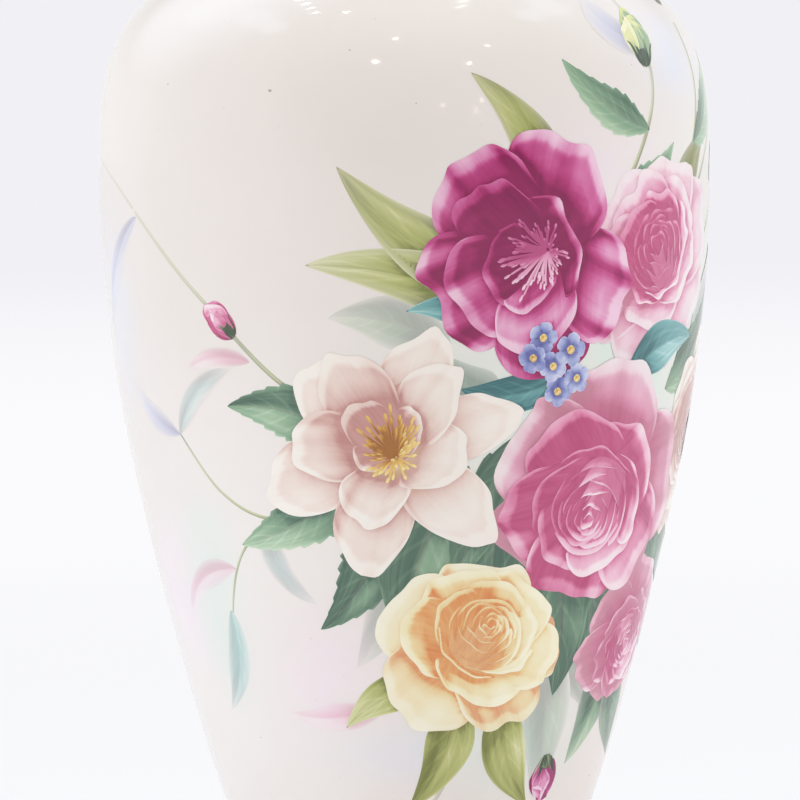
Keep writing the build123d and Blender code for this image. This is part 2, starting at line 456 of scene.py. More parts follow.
def make_shell(name, points, faces, normals, flat_map, **kept):
    """A smooth coat or film, with its flat map and the numbers that its points keep in threes."""
    shell = make_mesh(name, points, faces)
    mesh = shell.data
    mesh.shade_smooth()
    mesh.normals_split_custom_set_from_vertices(normals.tolist())
    for kept_name, values in kept.items():
        made = mesh.attributes.new(kept_name, "FLOAT_VECTOR", "POINT")
        made.data.foreach_set("vector", np.asarray(values, np.float32).ravel())
    corner_points = np.empty(len(mesh.loops), np.int32)
    mesh.loops.foreach_get("vertex_index", corner_points)
    layer = mesh.uv_layers.new(name="OFBake")
    layer.uv.foreach_set("vector", np.asarray(flat_map, np.float32)[corner_points].ravel())
    return shell


print(f"bed {BED_DEPTH} mm under the packed coat, ruled in {len(FINE)} steps")

# %% [markdown]
# ## The glaze
# The glaze is melted glass over white clay: warm white, nearly mirror smooth, with the faint waves
# of a coat that ran a little in the kiln. It carries the softest part of the painting too: hazes of
# pink, green and lilac dusted on around the flowers. Each haze is a round patch at its own place,
# and its strength is kept on the points of the mesh, so any film laid on top shows the same haze.

# %% the hazes
TURN = math.tau
MEAN_RADIUS = 88.0


def way_round(angle, centre):
    """The shortest angle from a centre."""
    return (angle - centre + math.pi) % TURN - math.pi


HAZES = [
    # angle in degrees, height, half width and half height in mm, tint: 0 pink, 1 green, 2 lilac
    (-62, 116, 20, 26, 0), (-48, 116, 14, 30, 1), (-70, 205, 12, 26, 2), (-20, 92, 22, 20, 0),
    (62, 285, 22, 16, 2), (-4, 66, 24, 10, 2), (24, 172, 40, 50, 1),
    (70, 120, 30, 44, 0), (42, 248, 26, 18, 0), (60, 200, 36, 50, 1), (30, 70, 30, 16, 1),
    (150, 210, 26, 26, 0), (196, 170, 24, 30, 2), (172, 240, 22, 20, 1),
]


def hazes_at(angle, along):
    """Strength of the pink, green and lilac haze at places on the skin."""
    strength = np.zeros((len(angle), 3))
    for degrees, height, wide, tall, tint in HAZES:
        across = way_round(angle, math.radians(degrees)) * MEAN_RADIUS / wide
        up = (along - level(height)) / tall
        strength[:, tint] += np.exp(-1.2 * (across * across + up * up))
    return np.clip(strength, 0.0, 1.0)


print(len(HAZES), "hazes")

# %% the glaze mesh
def turned_coat(name, levels, segments):
    """A seamless coat round the whole vase, as rings of quads from the foot up."""
    angles = np.linspace(-math.pi, math.pi, segments + 1)
    along, angle = np.meshgrid(levels, angles, indexing="ij")
    points, normals = skin(angle.ravel(), along.ravel(), 0.0)
    row = np.arange(len(levels) - 1)[:, None] * (segments + 1)
    column = np.arange(segments)[None, :]
    first = (row + column).ravel()
    quads = np.stack([first, first + 1, first + segments + 2, first + segments + 1], axis=1)
    span = (along.ravel() - levels[0]) / (levels[-1] - levels[0])
    turn = (angle.ravel() + math.pi) / TURN
    flat_map = np.stack([0.002 + 0.996 * turn, 0.002 + 0.996 * span], axis=1)
    return make_shell(name, points, quads, normals, flat_map, haze=hazes_at(angle.ravel(), along.ravel()))


RINGS = 300
SEGMENTS = 384
coat = turned_coat("gloss_glaze", np.linspace(0.0, ruler[-1], RINGS), SEGMENTS)
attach(coat, "root")
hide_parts("outer_glaze")
print(f"glaze coat of {len(coat.data.polygons)} faces")

# %% the glaze finish
GLASS_IOR = 1.5
PORCELAIN = rgb(238, 229, 224)
THIN_GLAZE = rgb(233, 223, 217)
PINK_HAZE = rgb(243, 224, 233)
GREEN_HAZE = rgb(214, 231, 220)
LILAC_HAZE = rgb(222, 224, 238)


def porcelain_white(start):
    """The colour of glazed clay with the hazes dusted on it."""
    place = start.place()
    clouds = place.noise(9.0, 3.0).steps(0.3, 0.7)
    white = clouds.mix(PORCELAIN, THIN_GLAZE)
    broken = place.noise(38.0, 3.0, 0.6, 0.4).steps(0.28, 0.66, 0.35, 1.0)
    for strength, tint in zip(start.kept("haze"), (PINK_HAZE, GREEN_HAZE, LILAC_HAZE)):
        white = (strength * broken * 0.75).mix(white, tint)
    return white


def gloss_relief(start):
    """The faint waves of a coat that ran a little in the kiln."""
    place = start.place()
    return bump(place.noise(26.0, 2.0) * 0.8 + place.noise(150.0, 2.0) * 0.05, 0.10, 0.0012)


def gloss_roughness(start):
    return start.place().noise(60.0, 3.0) * 0.06 + 0.035


def glaze_finish():
    material, start = new_material("gloss_glaze")
    place = start.place()
    specks = place.noise(700.0, 1.0).steps(0.80, 0.83)
    pinholes = place.noise(420.0, 0.0).steps(0.890, 0.915)
    colour = (specks * 0.25).mix(porcelain_white(start), rgb(176, 158, 138))
    colour = (pinholes * 0.85).mix(colour, rgb(158, 152, 134))
    finish_surface(start, colour, gloss_roughness(start), gloss_relief(start), IOR=GLASS_IOR)
    return material


coat.data.materials.append(glaze_finish())
print("glaze finish on", coat.name)

# %% [markdown]
# ## Bare clay, slip and the inner coats
# The foot's rest face stays unglazed, or the vase would fuse to the kiln shelf. Bare porcelain is
# matt and a touch creamy, with a fine tooth from the turning. The slip in the joints is the same
# clay, wetter, so a little darker. The coats inside and under the foot are glaze again.

# %% clay and inner coats
def clay_finish(name, light, dark, tooth):
    material, start = new_material(name)
    place = start.place()
    turning = place.stretch((0.05, 0.05, 1.0)).noise(900.0, 2.0)
    grain = place.noise(1800.0, 2.0)
    stains = place.noise(30.0, 4.0).steps(0.45, 0.75)
    colour = (grain * 0.4 + stains * 0.5).clamp().mix(light, dark)
    roughness = grain * 0.2 + 0.55
    finish_surface(start, colour, roughness, bump(turning * 0.6 + grain * 0.4, tooth, 0.0002))
    return material


def inner_glaze_finish(name, light, pooled):
    material, start = new_material(name)
    place = start.place()
    clouds = place.noise(14.0, 3.0).steps(0.3, 0.7)
    runs = place.stretch((1.0, 1.0, 0.12)).noise(70.0, 2.0).steps(0.5, 0.75)
    colour = (clouds * 0.6 + runs * 0.25).clamp().mix(light, pooled)
    finish_surface(start, colour, gloss_roughness(start) + 0.02, gloss_relief(start), IOR=GLASS_IOR)
    return material


def dress(node, material):
    slots = nodes[node].material_slots
    if slots:
        for slot in slots:
            slot.material = material
    else:
        nodes[node].data.materials.append(material)


bare_clay = clay_finish("bare_porcelain", rgb(236, 229, 216), rgb(214, 202, 184), 0.35)
slip_clay = clay_finish("fired_slip", rgb(226, 218, 204), rgb(202, 190, 172), 0.2)
for node in ("foot_ring", "lower_body", "upper_body", "neck"):
    dress(node, bare_clay)
for node in ("foot_slip_joint", "belly_slip_joint", "neck_slip_joint"):
    dress(node, slip_clay)
dress("inner_glaze", inner_glaze_finish("inner_gloss", rgb(231, 227, 221), rgb(219, 216, 207)))
dress("base_glaze", inner_glaze_finish("base_gloss", rgb(228, 226, 221), rgb(214, 216, 212)))
print("finishes:", ", ".join(sorted(m.name for m in bpy.data.materials)))

# %% [markdown]
# ## Painting with petals
# A china painter thinks of a flower as a bowl of petals, each one bent, cupped and frilled, and
# shades it with one light from the upper left. The same is done here: every petal is first built in
# the round, then it is pressed flat onto the skin of the vase as a film of enamel, at most a third
# of a millimetre high. What the round petal knew is kept on the points of the film: how far along
# and across the petal they lie, how much light they caught, and how much other petals cover them.

# %% one petal in the round
LIGHT = np.array([-0.52, 0.62, 0.60])
LIGHT = LIGHT / np.linalg.norm(LIGHT)
CLOSER_AT_EDGES = 1.35
LEAST_BEND = 1e-4
FULLEST_ROLL = 2.6


def along_curve(values, share):
    """A value that runs smoothly through three: at the start, the middle and the end."""
    first, middle, last = values
    return (first * (1 - share) * (1 - 2 * share) + middle * 4 * share * (1 - share)
            + last * share * (2 * share - 1))


def unit_sheet(rows, cols):
    """Across from -1 to 1 and along from 0 to 1, for each point of a sheet."""
    return np.meshgrid(np.linspace(-1.0, 1.0, cols), np.linspace(0.0, 1.0, rows))


def petal(length, width, rise, cup, chance, base=0.16, round_off=0.42, pointed=0.0, narrow=0.10,
          notch=0.0, frill=0.5, frills=2.5, roll=0.0, lap=0.0, start=1.0, rows=32, cols=31):
    """One petal of a flower that faces up: points, and how far across and along each one lies.

    rise holds the slope in degrees at the base, the middle and the tip, and cup how strongly the
    petal is rolled round its length there, as one over a radius in mm. lap lifts one side, so that
    it lies over the next petal of the ring.
    """
    u, v = unit_sheet(rows, cols)
    u = np.sin(u * CLOSER_AT_EDGES) / math.sin(CLOSER_AT_EDGES)
    v = v ** 0.85
    edge = np.abs(u)
    blunt = 1.0 - np.sqrt(1.0 - 0.98 * edge ** 2)
    wobble = 0.030 * np.sin(u * 4.3 + chance * 40.0) + 0.014 * np.sin(u * 9.1 + chance * 23.0)
    reach = 1.0 - round_off * ((1.0 - pointed) * blunt + pointed * edge ** 1.15)
    reach = reach - notch * np.exp(-(u / 0.22) ** 2) + wobble * (1.0 - edge ** 4)
    share = v * reach
    swell = base + (1.0 - base) * np.sin(np.pi / 2 * np.clip(share, 0, 1) ** 0.85) * (1.0 - narrow * v ** 5)
    across = 0.5 * width * u * swell * (1.0 + 0.05 * np.sin(v * 6.0 + chance * 17.0))
    steps = np.linspace(0.0, 1.1, 60)
    slope = np.radians(along_curve(rise, steps))
    out = start + length * np.concatenate([[0.0], np.cumsum(np.cos(slope[1:]) * np.diff(steps))])
    up = length * np.concatenate([[0.0], np.cumsum(np.sin(slope[1:]) * np.diff(steps))])
    tilt = np.radians(along_curve(rise, share))
    bend = along_curve(cup, share)
    bend = np.where(np.abs(bend) < LEAST_BEND, LEAST_BEND, bend)
    turn = np.clip(across * bend, -FULLEST_ROLL, FULLEST_ROLL)
    sideways = np.sin(turn) / bend
    inward = (1.0 - np.cos(turn)) / bend
    wave = np.sin(frills * np.pi * u + chance * 50.0 + 1.5 * v)
    wave = wave + 0.5 * np.sin(frills * 1.7 * np.pi * u + chance * 91.0)
    inward = inward + frill * wave * share ** 2.2 * (0.35 + 0.65 * edge)
    inward = inward - roll * width * np.clip(edge - 0.6, 0, 1) ** 2 * share
    inward = inward + lap * width * u * share
    inward = inward - roll * 0.5 * length * np.clip(v - 0.8, 0, 1) ** 2
    y = np.interp(share, steps, out) - np.sin(tilt) * inward
    z = np.interp(share, steps, up) + np.cos(tilt) * inward
    return np.stack([sideways, y, z], axis=-1), u, v


def turned(points, degrees):
    """Points turned about the axis of the flower."""
    angle = math.radians(degrees)
    cos, sin = math.cos(angle), math.sin(angle)
    return points @ np.array([[cos, sin, 0], [-sin, cos, 0], [0, 0, 1]]).T


def facing(points, tilt, towards):
    """Points of a flower that faces away from the eye by a tilt, towards a clock angle (0 is right)."""
    clock = math.radians(towards)
    axis = Vector((-math.sin(clock), math.cos(clock), 0.0))
    return points @ np.array(Quaternion(axis, math.radians(tilt)).to_matrix()).T

# %% a painted piece
class Painting:
    """The flat plan of one painted piece: across, up and towards the eye, in mm."""

    def __init__(self, name, enamel, degrees, height):
        self.name = name
        self.finish = enamels[enamel]
        self.angle = math.radians(degrees)
        self.along = level(height)
        self.sheets = []

    def add(self, points, across, along, chance, fade=0.0, keep=False):
        """Adds one sheet, given as a grid of points in the round; a kept one is never left out."""
        self.sheets.append((points, across, along, chance, np.zeros_like(across) + fade, keep))

    def gather(self):
        """All sheets as arrays of points, triangles, place, light with reverse, and kept points."""
        points, faces, place, shade, kept = [], [], [], [], []
        count = 0
        for grid, across, along, chance, fade, keep in self.sheets:
            rows, cols = across.shape
            normal = np.cross(np.gradient(grid, axis=1), np.gradient(grid, axis=0))
            normal /= np.linalg.norm(normal, axis=-1, keepdims=True) + 1e-9
            back = (normal[..., 2] < 0.0).astype(float)
            normal = np.where(normal[..., 2:3] < 0.0, -normal, normal)
            light = np.clip(normal @ LIGHT, 0.0, 1.0)
            index = np.arange(rows * cols).reshape(rows, cols) + count
            a, b, c, d = index[:-1, :-1], index[:-1, 1:], index[1:, 1:], index[1:, :-1]
            faces.append(np.stack([a, b, c], axis=-1).reshape(-1, 3))
            faces.append(np.stack([a, c, d], axis=-1).reshape(-1, 3))
            points.append(grid.reshape(-1, 3))
            place.append(np.stack([across, along, np.zeros_like(across) + chance], axis=-1).reshape(-1, 3))
            shade.append(np.stack([light, back, fade], axis=-1).reshape(-1, 3))
            kept.append(np.full(rows * cols, keep))
            count += rows * cols
        return [np.concatenate(parts) for parts in (points, faces, place, shade, kept)]

# %% [markdown]
# Paint is laid from back to front. A map of the skin, in cells of 0.7 mm, remembers how high the
# round flowers stand after each piece, so the next one is laid just clear of what it crosses. From
# the same map each point can tell how much of its light is kept off by petals around it, mostly by
# those on the side of the light. The film itself is the same relief, pressed to a two-hundredth of
# its depth. A second map holds the heights of the film: there a piece is raised only where it
# crosses another, so that the paint stays thin.

# %% the map of the skin
CELL = 0.7
MAP_COLS = int(TURN * MEAN_RADIUS / CELL) + 1
MAP_ROWS = int(ruler[-1] / CELL) + 1
FILM_PER_DEPTH = 0.0048
LEAST_FILM = 0.006
print(f"map of the skin, {MAP_ROWS} by {MAP_COLS} cells")


def to_cells(angle, along):
    """The row and column of the map's cells at places on the skin."""
    col = ((angle + math.pi) % TURN / TURN * (MAP_COLS - 1)).astype(int)
    row = np.clip(along / CELL, 0, MAP_ROWS - 1).astype(int)
    return row, col


def spread(grid, how):
    """Takes the largest or smallest of each cell and its eight neighbours."""
    for axis in (0, 1):
        grid = how(how(np.roll(grid, 1, axis), grid), np.roll(grid, -1, axis))
    return grid


def smooth(grid):
    """The mean of each cell and its eight neighbours."""
    for axis in (0, 1):
        grid = (np.roll(grid, 1, axis) + grid + np.roll(grid, -1, axis)) / 3.0
    return grid


def between_cells(grid, angle, along):
    """Values of a map at places, with no step from one cell to the next."""
    col = (angle + math.pi) % TURN / TURN * (MAP_COLS - 1) - 0.5
    row = np.clip(along / CELL - 0.5, 0, MAP_ROWS - 2)
    left, low = np.floor(col).astype(int), np.floor(row).astype(int)
    right_share, upper_share = col - left, row - low
    left, right = left % MAP_COLS, (left + 1) % MAP_COLS
    lower = grid[low, left] * (1 - right_share) + grid[low, right] * right_share
    upper = grid[low + 1, left] * (1 - right_share) + grid[low + 1, right] * right_share
    return lower * (1 - upper_share) + upper * upper_share


def probes_of(faces, values):
    """Values at the corners, the middles of the sides and the middle of each triangle."""
    corners = values[faces]
    sides = (corners + np.roll(corners, 1, axis=1)) / 2
    return np.concatenate([corners, sides, corners.mean(axis=1, keepdims=True)], axis=1).ravel()


paintings = []
depth_map, cover_map, film_map = np.zeros((3, MAP_ROWS, MAP_COLS))
CLEARANCE_CELLS = 8
GAP = 1.0


def lay(painting, sparse=False):
    """Presses a painting onto the skin, clear of all there; a sparse one hides nothing under it."""
    points, faces, place, shade, kept = painting.gather()
    along = painting.along + points[:, 1]
    angle = painting.angle + points[:, 0] / np.interp(along, FINE, fine_radius)
    depth = points[:, 2] - points[:, 2].min()
    cells = to_cells(probes_of(faces, angle), probes_of(faces, along))
    own = np.full(depth_map.shape, -1.0)
    np.maximum.at(own, cells, probes_of(faces, depth))
    painted = own >= 0.0
    lift = (depth_map - own)[painted].max() + GAP
    depth_map[painted] = own[painted] + lift
    if not sparse:
        cover_map[painted] = depth_map[painted]
    raised = np.where(painted, np.clip(film_map - own + GAP, 0.0, None), 0.0)
    for _ in range(CLEARANCE_CELLS):
        raised = spread(raised, np.maximum)
    for _ in range(CLEARANCE_CELLS):
        raised = smooth(raised)
    film = depth + between_cells(raised, angle, along)
    film[kept] = np.maximum(film, between_cells(film_map, angle, along) + GAP)[kept]
    film_map[painted] = (own + raised)[painted]
    paintings.append([painting, points, angle, along, faces, place, shade, kept, depth + lift, film])


LOOK_ROUND = 14
LOOK_AT = (1.1, 2.0, 3.4, 5.2, 7.6, 11.0)
COVER_ENDS = 14.0
BURIED = 6.0


def cover_at(angle, along, depth):
    """How much of its light each point loses to higher paint around it."""
    closed = spread(spread(depth_map, np.maximum), np.minimum)
    total = np.zeros(len(angle))
    weight_sum = 0.0
    for step in range(LOOK_ROUND):
        direction = TURN * step / LOOK_ROUND
        side, up = math.cos(direction), math.sin(direction)
        weight = 0.45 + 1.6 * max(0.0, side * LIGHT[0] + up * LIGHT[1])
        strongest = np.zeros(len(angle))
        for distance in LOOK_AT:
            row, col = to_cells(angle + side * distance / MEAN_RADIUS, along + up * distance)
            above = np.clip(closed[row, col] - depth - 0.5, 0.0, 9.0)
            strongest = np.maximum(strongest, np.clip(above / distance, 0, 1) * (1 - distance / COVER_ENDS))
        total += weight * strongest
        weight_sum += weight
    return total / weight_sum

# %% from paintings to meshes
def press_paintings():
    """Makes the mesh of every painting: hidden film left out, nearest film last."""
    least = spread(spread(spread(cover_map, np.minimum), np.minimum), np.minimum)
    total, highest = 0, 0.0
    for painting, points, angle, along, faces, place, shade, kept, depth, film_depth in paintings:
        row, col = to_cells(angle, along)
        buried = (depth < least[row, col] - BURIED) & ~kept
        faces = faces[~buried[faces].all(axis=1)]
        first, second, third = (points[faces[:, k], :2] for k in range(3))
        way = np.cross(second - first, third - first)
        faces = np.where(way[:, None] < 0, faces[:, ::-1], faces)[np.abs(way) > 1e-4]
        faces = faces[np.argsort(depth[faces].mean(axis=1), kind="stable")]
        used, faces = np.unique(faces, return_inverse=True)
        faces = faces.reshape(-1, 3)
        rise = LEAST_FILM + film_depth[used] * FILM_PER_DEPTH
        highest = max(highest, rise.max())
        where, normals = skin(angle[used], along[used], rise)
        light, back, fade = shade[used].T
        cover = cover_at(angle[used], along[used], depth[used])
        flat = points[used, :2]
        low, high = flat.min(axis=0), flat.max(axis=0)
        film = make_shell(painting.name, where, faces, normals, 0.01 + 0.98 * (flat - low) / (high - low),
                          place=place[used], shade=np.column_stack([light, cover, back]),
                          haze=hazes_at(angle[used], along[used]), fade=np.column_stack([fade] * 3))
        film.data.materials.append(painting.finish)
        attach(film, "root")
        total += len(faces)
    print(f"{len(paintings)} painted pieces, {total} faces, paint up to {highest:.3f} mm high")

# %% [markdown]
# ## Enamel colours
# China colours are ground glass and metal oxides, thinned with oil and laid with a soft brush: deep
# where the petal dips, nearly bare white on its crest. A finish therefore works out one tone, from
# the light, the cover, the place along the petal and the fine streaks that the brush hairs leave,
# and looks its colour up in a ramp. Where the paint fades out, the white glaze shows through.

# %% the enamel finish
ENAMEL_ROUGHER = 0.035
enamels = {}


def brush_hairs(start, across, along, chance, fineness, length):
    """Streaks that run along a petal and close up towards its base."""
    values = {"X": across * fineness + chance * 61.0, "Y": along * length, "Z": chance * 37.0}
    return start.node("CombineXYZ", values, "Vector").noise(1.0, 3.0, 0.6)


def over_glaze(start, colour, streaks):
    """Ends an enamel: faded into the white, glossy, with the slight tooth of its brush strokes."""
    colour = start.kept("fade")[0].mix(colour, porcelain_white(start))
    relief = bump(streaks, 0.10, 0.0002)
    finish_surface(start, colour, gloss_roughness(start) + ENAMEL_ROUGHER, relief, IOR=GLASS_IOR)


def tones(rows):
    """The stops of a ramp from rows of place in hundredths, red, green and blue."""
    return [(place / 100, rgb(*colour)) for place, *colour in rows]


def enamel(name, finish, front, back, **more):
    """Makes an enamel from its tones, deepest first, those of the reverse side, and what differs."""
    enamels[name] = finish(name + "_enamel", tones(front), tones(back), **more)


def petal_finish(name, stops, back, streak=0.26, rim=0.14, heart=None, cover_share=0.68):
    """Petal colours: stops from the deepest tone to the lightest, and the tint of the reverse."""
    material, start = new_material(name)
    across, along, chance = start.kept("place")
    light, cover, reverse = start.kept("shade")
    broad = brush_hairs(start, across, along, chance, 3.2, 0.9)
    fine = brush_hairs(start, across, along, chance, 15.0, 1.8)
    edge = across.size().larger(along) + (broad - 0.5) * 0.12
    # Painted highlight and shade: the outermost rim of each petal is painted lighter, as a highlight, and a
    # band just inside it is painted darker.
    shade_inside_rim = edge.steps(0.74, 0.86) * (1.0 - edge.steps(0.86, 0.92))
    rim_highlight = edge.steps(0.87, 0.93) * rim - shade_inside_rim * rim * 0.8
    # The tone holds painted light and shade: lighter where the round petal faced the light, darker where
    # higher paint covers it.
    tone = 0.12 + light.steps(0.15, 1.0) * 0.62 + along.steps(0.1, 0.9) * 0.24
    tone = tone - cover * cover_share + (broad - 0.5) * streak + (fine - 0.5) * streak * 0.45 + rim_highlight
    tone = (tone + (chance - 0.5) * 0.10).larger(broad * 0.30 + fine * 0.14 - 0.12)
    colour = tone.clamp().ramp(stops)
    if heart:
        colour = ((1.0 - along).steps(0.55, 1.0) * 0.75).mix(colour, heart)
    colour = (reverse * 0.55).mix(colour, (tone * 1.1).clamp().ramp(back))
    over_glaze(start, colour, broad * 0.6 + fine * 0.4)
    return material


enamel("magenta", petal_finish,
    [(0, 112, 14, 66), (28, 172, 34, 104), (52, 204, 84, 146), (76, 226, 146, 188), (100, 243, 210, 226)],
    [(0, 150, 40, 100), (45, 212, 116, 168), (80, 238, 188, 214), (100, 246, 226, 236)])
enamel("rose_pink", petal_finish,
    [(0, 172, 52, 100), (24, 214, 108, 150), (46, 231, 158, 188), (70, 243, 204, 217), (100, 247, 233, 235)],
    [(0, 206, 104, 144), (45, 232, 164, 190), (80, 244, 214, 224), (100, 246, 234, 236)])
enamel("blush_cream", petal_finish,
    [(0, 182, 118, 114), (22, 212, 166, 158), (44, 229, 200, 190), (70, 239, 222, 211), (100, 247, 240, 232)],
    [(0, 200, 136, 136), (40, 230, 192, 187), (80, 242, 226, 218), (100, 247, 240, 234)],
    heart=rgb(226, 206, 140))
enamel("straw_yellow", petal_finish,
    [(0, 216, 116, 58), (13, 230, 166, 104), (28, 237, 206, 150), (52, 242, 228, 182), (100, 249, 244, 222)],
    [(0, 218, 150, 100), (30, 236, 208, 162), (70, 244, 232, 194), (100, 248, 242, 220)])
enamel("bud_yellow", petal_finish,
    [(0, 128, 158, 128), (25, 186, 200, 140), (50, 226, 222, 150), (75, 240, 232, 178), (100, 248, 244, 220)],
    [(0, 150, 176, 150), (50, 222, 220, 160), (100, 246, 242, 214)],
    cover_share=0.45)
enamel("lilac_blue", petal_finish,
    [(0, 84, 84, 150), (35, 132, 140, 196), (65, 178, 184, 222), (100, 226, 226, 240)],
    [(0, 120, 120, 176), (60, 196, 198, 226), (100, 228, 228, 240)],
    rim=0.05)
enamel("golden_stamen", petal_finish,
    [(0, 132, 70, 34), (25, 200, 138, 60), (50, 230, 186, 96), (100, 250, 232, 168)],
    [(0, 150, 84, 40), (50, 216, 164, 82), (100, 246, 222, 154)],
    rim=0.0, streak=0.6, cover_share=0.30)
enamel("pale_stamen", petal_finish,
    [(0, 170, 50, 110), (35, 214, 112, 160), (65, 234, 168, 198), (100, 250, 222, 234)],
    [(0, 190, 80, 130), (60, 230, 160, 190), (100, 248, 216, 230)],
    rim=0.0, streak=0.4, cover_share=0.30)
print("petal enamels:", ", ".join(enamels))

# %% leaf finishes
def leaf_finish(name, stops, back, veins=7.0, band=0.22, rib=rgb(118, 106, 104)):
    """Leaf colours, with a midrib, side veins and the soft bands of a wide brush."""
    material, start = new_material(name)
    across, along, chance = start.kept("place")
    light, cover, reverse = start.kept("shade")
    away_from_rib = across.size()
    bands = brush_hairs(start, across, along, chance, 2.6, 0.7)
    fine = brush_hairs(start, across, along, chance, 12.0, 2.5)
    count = along * veins - away_from_rib * 1.7 + chance
    saw = (count.node("Math", {0: count}, operation="FRACT") - 0.5).size()
    vein = (1.0 - saw.steps(0.05, 0.17)) * (1.0 - away_from_rib.steps(0.55, 0.95))
    midrib = 1.0 - away_from_rib.steps(0.02, 0.085)
    tone = 0.10 + light.steps(0.1, 1.0) * 0.66 + (bands - 0.5) * band * 2.4 + (fine - 0.5) * 0.12
    tone = tone - cover * 0.72 + away_from_rib.steps(0.86, 1.0) * 0.14
    tone = tone.larger(bands * 0.55 + fine * 0.20 - 0.26) + vein * 0.07
    colour = tone.clamp().ramp(stops)
    colour = (midrib * 0.55).mix(colour, rib)
    colour = (reverse * 0.5).mix(colour, (tone * 1.1).clamp().ramp(back))
    over_glaze(start, colour, bands * 0.5 + vein * 0.3)
    return material


enamel("blue_green", leaf_finish,
    [(0, 46, 78, 66), (24, 84, 118, 98), (48, 122, 156, 128), (72, 160, 194, 154), (100, 210, 226, 198)],
    [(0, 90, 114, 98), (50, 150, 176, 148), (100, 212, 224, 202)])
enamel("olive", leaf_finish,
    [(0, 92, 96, 40), (26, 138, 144, 72), (50, 174, 178, 104), (74, 206, 206, 146), (100, 230, 228, 188)],
    [(0, 130, 132, 70), (50, 190, 192, 124), (100, 228, 226, 184)],
    veins=5.0, band=0.34, rib=rgb(132, 134, 74))
enamel("turquoise", leaf_finish,
    [(0, 28, 78, 84), (28, 62, 122, 126), (52, 104, 166, 168), (76, 150, 204, 202), (100, 206, 232, 226)],
    [(0, 60, 104, 110), (50, 130, 178, 178), (100, 206, 228, 224)],
    veins=5.0, band=0.3, rib=rgb(70, 110, 112))
enamel("dark_sepal", leaf_finish,
    [(0, 46, 58, 48), (30, 78, 96, 74), (60, 122, 140, 104), (100, 186, 198, 158)],
    [(0, 70, 80, 64), (50, 124, 138, 108), (100, 182, 194, 158)],
    band=0.2)
enamel("pale_stem", leaf_finish,
    [(0, 96, 106, 60), (30, 152, 160, 102), (60, 200, 202, 148), (100, 236, 234, 196)],
    [(0, 120, 126, 80), (50, 190, 194, 140), (100, 232, 230, 190)],
    band=0.12, rib=rgb(206, 206, 152))
print("all enamels:", ", ".join(enamels))

# %% [markdown]
# ## Flowers
# Each kind of flower is a few rings of petals round one middle. The outer rings lie open, the inner
# ones stand up and close over the heart. Small chance differences in length, width and turn keep
# two petals from being twins.

# %% rings of petals
chances = np.random.default_rng(41)
LAP = 0.05


def vary(value, share):
    return value * (1.0 + share * (chances.random() * 2.0 - 1.0))


def add_rings(painting, pose, size, rings, fade=0.0):
    """Adds rings of petals to a flower that leans in a pose: tilt and clock angle in degrees."""
    for count, turn, lift, fade_share, length, width, rise, cup, round_off, frill, more in rings:
        shape = dict(more, round_off=round_off, frill=frill * size, lap=LAP)
        shape["cup"] = [bend / size for bend in cup]
        if "start" in more:
            shape["start"] = more["start"] * size
        for number in range(count):
            chance = chances.random()
            grown = vary(length * size, 0.07), vary(width * size, 0.08)
            slopes = [slope + 6.0 * (chances.random() - 0.5) for slope in rise]
            points, across, along = petal(*grown, slopes, chance=chance, **shape)
            points = turned(points, turn + 360.0 / count * number + 8.0 * (chances.random() - 0.5))
            points[..., 2] += lift * size
            paled = fade * fade_share * np.clip(along * 1.4 - 0.4, 0, 1) ** 1.5
            painting.add(facing(points, *pose), across, along, chance, paled)


def heart_floor(painting, pose, size, radius, slope):
    """The small dished disc at the root of the petals, which closes the middle of a flower."""
    u = unit_sheet(6, 25)[0]
    out = radius * size * np.linspace(0.02, 1.0, 6)[:, None]
    disc = np.stack([out * np.sin(math.pi * u), out * np.cos(math.pi * u), slope * out + 0.0 * u], axis=-1)
    painting.add(facing(disc, *pose), 0.2 * u, 0.12 + 0.0 * u, 0.5, keep=True)


def rolled_heart(painting, pose, size, wraps, frill):
    """The heart of a rose: petals wrapped round each other like a scroll.

    Each wrap is a number of petals, its radius and its height in mm. One end of a petal lies inside
    its neighbour and the other end outside, and the rim turns outward a little. All this stays
    within the gap to the next wrap, so that no two petals cut through each other.
    """
    u, v = unit_sheet(16, 45)
    radii = [radius for _, radius, _ in wraps] + [0.0]
    for turn, (count, radius, height) in enumerate(wraps):
        gap = radius - radii[turn + 1]
        for number in range(count):
            chance = chances.random()
            half_turn = (0.60 + 0.08 * chance) * TURN / count
            angle = TURN * (number / count + 0.13 * turn) + u * half_turn
            wobble = 0.08 * np.sin(5.0 * u + 30.0 * chance)
            out = (radius + 0.34 * gap * u) * (0.70 + 0.30 * v) + gap * (0.30 * v ** 6 + wobble)
            rim = 1.0 - 0.13 * np.abs(u) ** 3 + frill * np.sin(7.0 * u + 50.0 * chance)
            up = 2.0 + height * rim * v - 0.5 * v ** 8
            curl = np.stack([out * np.sin(angle), out * np.cos(angle), up], axis=-1) * size
            painting.add(facing(curl, *pose), u * 0.85, v, chance)


def stamens(name, spot, pose, size, enamel, count, reach, rise, thick, sac_size):
    """A tuft of stamens: fine stalks, each with a pollen sac at its end."""
    tuft = Painting(name, enamel, *spot)
    for number in range(count):
        chance = chances.random()
        turn = 360.0 * (number * 0.618 % 1.0)
        length = size * reach * (0.5 + 0.5 * chances.random())
        slope = rise + 30.0 * (chances.random() - 0.5)
        stalk, across, along = petal(
            length, thick, [slope + 12.0, slope, slope - 18.0], [0.01] * 3, chance,
            base=0.9, narrow=0.3, round_off=0.05, frill=0.0, start=0.5, rows=9, cols=3)
        tuft.add(facing(turned(stalk, turn), *pose), across, along * 0.6, chance)
        end = stalk[-1, 1]
        sac, across, along = petal(
            sac_size * 2.4, sac_size, [slope - 10.0] * 3, [0.8] * 3, chance,
            base=0.5, round_off=0.5, frill=0.0, start=0.0, rows=8, cols=7)
        sac = sac + np.array([0.0, end[1] - sac_size * 0.8, end[2] + 0.6])
        tuft.add(facing(turned(sac, turn), *pose), across, 0.5 + 0.5 * along, chance)
    lay(tuft, sparse=True)

